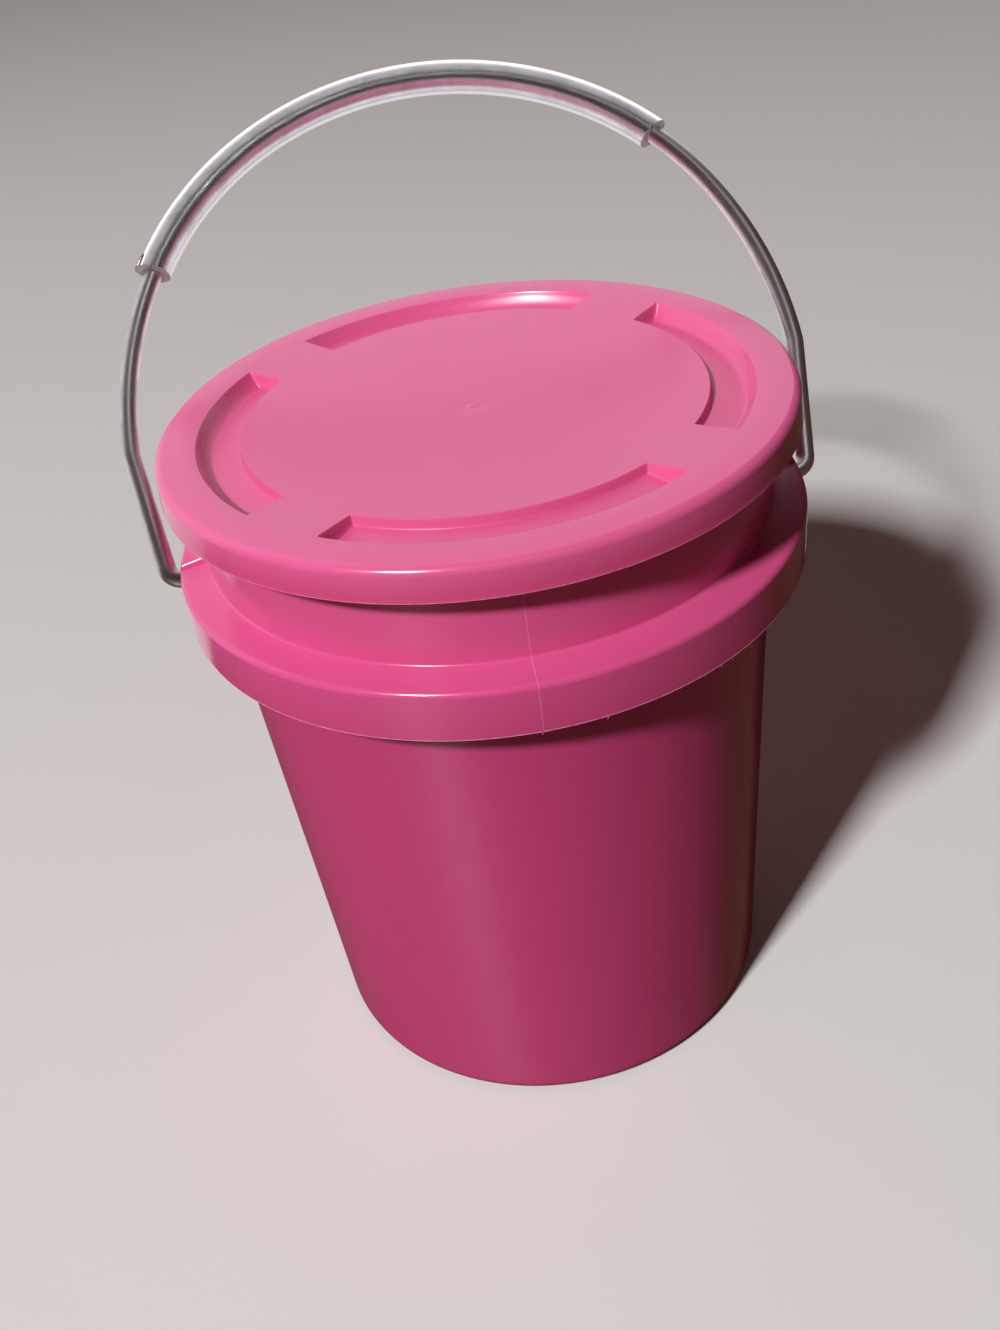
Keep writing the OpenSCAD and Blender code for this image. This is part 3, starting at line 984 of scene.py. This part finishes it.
class FAVORPAIL_OT_sleeve(bpy.types.Operator):
    """Models the grip sleeve: a clear tube round the top of the wire, its ends cut a little askew"""

    bl_idname = "favorpail.sleeve"
    bl_label = "Grip sleeve"
    bl_options = {"REGISTER", "UNDO"}

    def execute(self, context):
        s = settings("bail")
        bends, _ = bail_route()
        _, centre_z, arc_r, _, _ = bends[len(bends) // 2]
        start, end = -s.sleeve_left, s.sleeve_right
        spot = at_heading(0, centre_z, arc_r, start)
        clear_selection()
        bpy.ops.mesh.primitive_circle_add(
            vertices=48,
            radius=s.sleeve_outer / 2,
            fill_type="NOTHING",
            location=spot,
            rotation=(0, math.pi / 2 + start, 0),
        )
        tube = bpy.context.object
        tube.name = "clear_sleeve_tube"
        tube.data.name = "clear_sleeve_tube"
        bpy.ops.object.duplicate()
        bore = bpy.context.object
        share = s.sleeve_inner / s.sleeve_outer
        bore.scale = (share, share, share)
        only(tube)
        bore.select_set(True)
        settle()
        bpy.ops.object.join()
        bpy.ops.object.mode_set(mode="EDIT")
        bpy.ops.mesh.select_mode(type="EDGE")
        bpy.ops.mesh.select_all(action="SELECT")
        spin_bend(0, centre_z, arc_r, start, end, 1.1 * MM)
        for heading, tilt in ((start, math.radians(8)), (end, math.radians(-10))):
            middle = at_heading(0, centre_z, arc_r, heading)
            pick("EDGE", lambda e: e.is_boundary and all((p - middle).length < s.sleeve_outer for p in corners(e)))
            bpy.ops.transform.rotate(value=tilt, orient_axis="Y", center_override=middle)
            bpy.ops.mesh.bridge_edge_loops()
            bpy.ops.object.vertex_group_add()
            bpy.ops.object.vertex_group_assign()
        bpy.ops.mesh.select_all(action="SELECT")
        bpy.ops.mesh.normals_make_consistent(inside=False)
        middle = at_heading(0, centre_z, arc_r, start)
        outward = (middle - Vector((0, 0, centre_z))).normalized()

        flare = 0.35 * MM

        def flared(vert):
            away = vert.co - middle
            outside = away.dot(outward) > s.sleeve_inner * 0.5 and vert.co.y < 0.6 * MM
            return away.length < s.sleeve_outer * 0.6 and outside

        pick("VERT", flared)
        bpy.ops.transform.translate(value=outward * flare)
        bpy.ops.mesh.select_mode(type="VERT")
        bpy.ops.mesh.select_all(action="DESELECT")
        for group in tube.vertex_groups:
            tube.vertex_groups.active_index = group.index
            bpy.ops.object.vertex_group_select()
        bpy.ops.mesh.duplicate()
        bpy.ops.mesh.separate(type="SELECTED")
        bpy.ops.object.mode_set(mode="OBJECT")
        cuts = next(piece for piece in context.selected_objects if piece != tube)
        cuts.name = "clear_sleeve_cuts"
        cuts.data.name = "clear_sleeve_cuts"
        for piece in (tube, cuts):
            only(piece)
            bpy.ops.object.vertex_group_remove(all=True)
        only(cuts)
        add_modifier("SOLIDIFY", thickness=0.05 * MM, offset=1.0)
        lean_back(cuts)
        finish_piece(cuts, weighted=False)
        dress(cuts, hazy_cut("sleeve_cut_look"))
        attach(cuts, "bail_body")
        store_wire_place(tube)
        lean_back(tube)
        finish_piece(tube, 50)
        dress(tube, clear_tube("clear_sleeve_look"))
        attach(tube, "bail_body")
        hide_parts("grip_sleeve")
        return {"FINISHED"}


def area_light(name, place, aim, size, power, tint):
    clear_selection()
    bpy.ops.object.light_add(type="AREA", location=place)
    light = bpy.context.object
    light.name = name
    light.data.shape = "RECTANGLE"
    light.data.size, light.data.size_y = size
    light.data.energy = power
    light.data.color = tint
    light.visible_camera = False
    light.rotation_euler = (Vector(aim) - Vector(place)).to_track_quat("-Z", "Y").to_euler()
    return light


def light_only(light, name, pieces):
    """Lets a light reach only the listed objects."""
    lit = bpy.data.collections.new(name)
    for piece in pieces:
        lit.objects.link(piece)
    light.light_linking.receiver_collection = lit


def hide_from(piece, *rays):
    """Takes a piece out of the sight of some kinds of ray."""
    for ray in rays:
        setattr(piece, "visible_" + ray, False)


def ground(name, height, material):
    clear_selection()
    bpy.ops.mesh.primitive_plane_add(size=8, location=(0, 2, height))
    plane = bpy.context.object
    plane.name = name
    settle()
    dress(plane, material)
    plane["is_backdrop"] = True
    return plane


class FAVORPAIL_OT_stage(bpy.types.Operator):
    """Sets up the pale floor, the soft lights and the camera"""

    bl_idname = "favorpail.stage"
    bl_label = "Stage"
    bl_options = {"REGISTER", "UNDO"}

    def execute(self, context):
        s = settings("stage")
        floor = ground("floor", -0.02 * MM, matte_floor("floor_look"))
        hide_from(floor, "diffuse", "glossy", "shadow")
        clear_selection()
        bpy.ops.mesh.primitive_uv_sphere_add(segments=64, ring_count=32, radius=5, location=(0, 1, 0))
        backdrop = bpy.context.object
        backdrop.name = "backdrop"
        settle()
        dress(backdrop, pale_paper("backdrop_look"))
        backdrop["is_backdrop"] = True
        hide_from(backdrop, "diffuse", "glossy", "transmission", "volume_scatter", "shadow")
        table = ground("dark_card_below", -0.2 * MM, dark_card("dark_card_look"))
        hide_from(table, "camera", "transmission")

        plastic, bare = [], []
        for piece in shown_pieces():
            (bare if piece.name.startswith(("bail_wire", "clear_sleeve")) else plastic).append(piece)
        cuts = [piece for piece in bare if "cuts" in piece.name]
        uncut = [piece for piece in bare if piece not in cuts]
        white = (1, 1, 1)
        bail_place = (0, 0.03, 0.12)

        across = math.cos(s.key_height) * s.key_distance
        key_place = (
            -math.sin(s.key_turn) * across,
            -math.cos(s.key_turn) * across,
            math.sin(s.key_height) * s.key_distance,
        )
        pail_place = (0, 0, 0.06)
        key_size = (s.key_width, s.key_width)
        key = area_light("key_light", key_place, pail_place, key_size, s.key_power, (1, 0.985, 0.96))
        light_only(key, "lit_by_the_key", plastic + [floor, table])

        overhead_place = (0.34, -0.71, 1.39)
        overhead = area_light("soft_light_above", overhead_place, bail_place, (0.35, 0.35), s.overhead_power, white)
        light_only(overhead, "lit_from_above", bare)

        lid_place, above_lid = (0, 0.014, 0.1046), (0, 0.014, 0.2)
        lid_glow = (1.0, 0.42, 0.6)
        bounce = area_light("pink_bounce", lid_place, above_lid, (0.12, 0.135), s.bounce_power, lid_glow)
        light_only(bounce, "lit_by_the_bounce", uncut)

        width, height = 0.74, 0.6
        card_x, card_y = -0.28, 0.085
        card_power = s.card_glow * math.pi * width * height
        card_place, card_aim = (card_x, card_y, height / 2), (card_x, 0, height / 2)
        card = area_light("white_card_behind", card_place, card_aim, (width, height), card_power, (0.98, 0.97, 1.0))
        light_only(card, "lit_by_the_card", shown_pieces())

        low_place, low_aim = (0, -0.10, 0.01), (0, 0.04, 0.12)
        low_light = area_light("floor_bounce", low_place, low_aim, (0.3, 0.3), s.floor_power, white)
        light_only(low_light, "lit_by_the_floor_bounce", cuts)

        world = bpy.data.worlds.new("soft_sky")
        world.use_nodes = True
        background = world.node_tree.nodes["Background"]
        background.inputs["Color"].default_value = opaque(s.sky_tint)
        background.inputs["Strength"].default_value = s.sky
        context.scene.world = world

        clear_selection()
        place, aim = Vector(s.camera_place), Vector(s.camera_aim)
        bpy.ops.object.camera_add(location=place)
        camera = bpy.context.object
        camera.name = "camera"
        turn = (aim - place).to_track_quat("-Z", "Y").to_matrix() @ Matrix.Rotation(s.camera_roll, 3, "Z")
        camera.rotation_euler = turn.to_euler()
        camera.data.lens = s.camera_lens
        camera.data.sensor_width = 36
        camera.data.clip_start = 0.01
        context.scene.camera = camera
        context.scene.view_settings.view_transform = "Standard"
        return {"FINISHED"}


class FAVORPAIL_PT_sidebar(bpy.types.Panel):
    bl_label = "Favor Pail"
    bl_idname = "FAVORPAIL_PT_sidebar"
    bl_space_type = "VIEW_3D"
    bl_region_type = "UI"
    bl_category = "Favor Pail"

    def draw(self, context):
        layout = self.layout
        for operator in OPERATORS:
            layout.operator(operator.bl_idname)
        for name, group in GROUPS.items():
            box = layout.box()
            box.label(text=name.capitalize())
            for key in group.__annotations__:
                box.prop(settings(name), key)


GROUPS = {
    "pail": PailSizes,
    "lid": LidSizes,
    "bail": BailSizes,
    "colours": FinishColours,
    "stage": StageSettings,
}
OPERATORS = (
    FAVORPAIL_OT_pail,
    FAVORPAIL_OT_lid,
    FAVORPAIL_OT_bail,
    FAVORPAIL_OT_sleeve,
    FAVORPAIL_OT_stage,
)


def register():
    for group in GROUPS.values():
        bpy.utils.register_class(group)
    for name, group in GROUPS.items():
        setattr(bpy.types.Scene, "favor_pail_" + name, PointerProperty(type=group))
    for cls in (*OPERATORS, FAVORPAIL_PT_sidebar):
        bpy.utils.register_class(cls)


def unregister():
    for cls in (FAVORPAIL_PT_sidebar, *reversed(OPERATORS)):
        bpy.utils.unregister_class(cls)
    for name in GROUPS:
        delattr(bpy.types.Scene, "favor_pail_" + name)
    for group in reversed(list(GROUPS.values())):
        bpy.utils.unregister_class(group)


def main():
    register()
    bpy.ops.favorpail.pail()
    bpy.ops.favorpail.lid()
    bpy.ops.favorpail.bail()
    bpy.ops.favorpail.sleeve()
    bpy.ops.favorpail.stage()
    clear_selection()


if __name__ == "__main__":
    main()
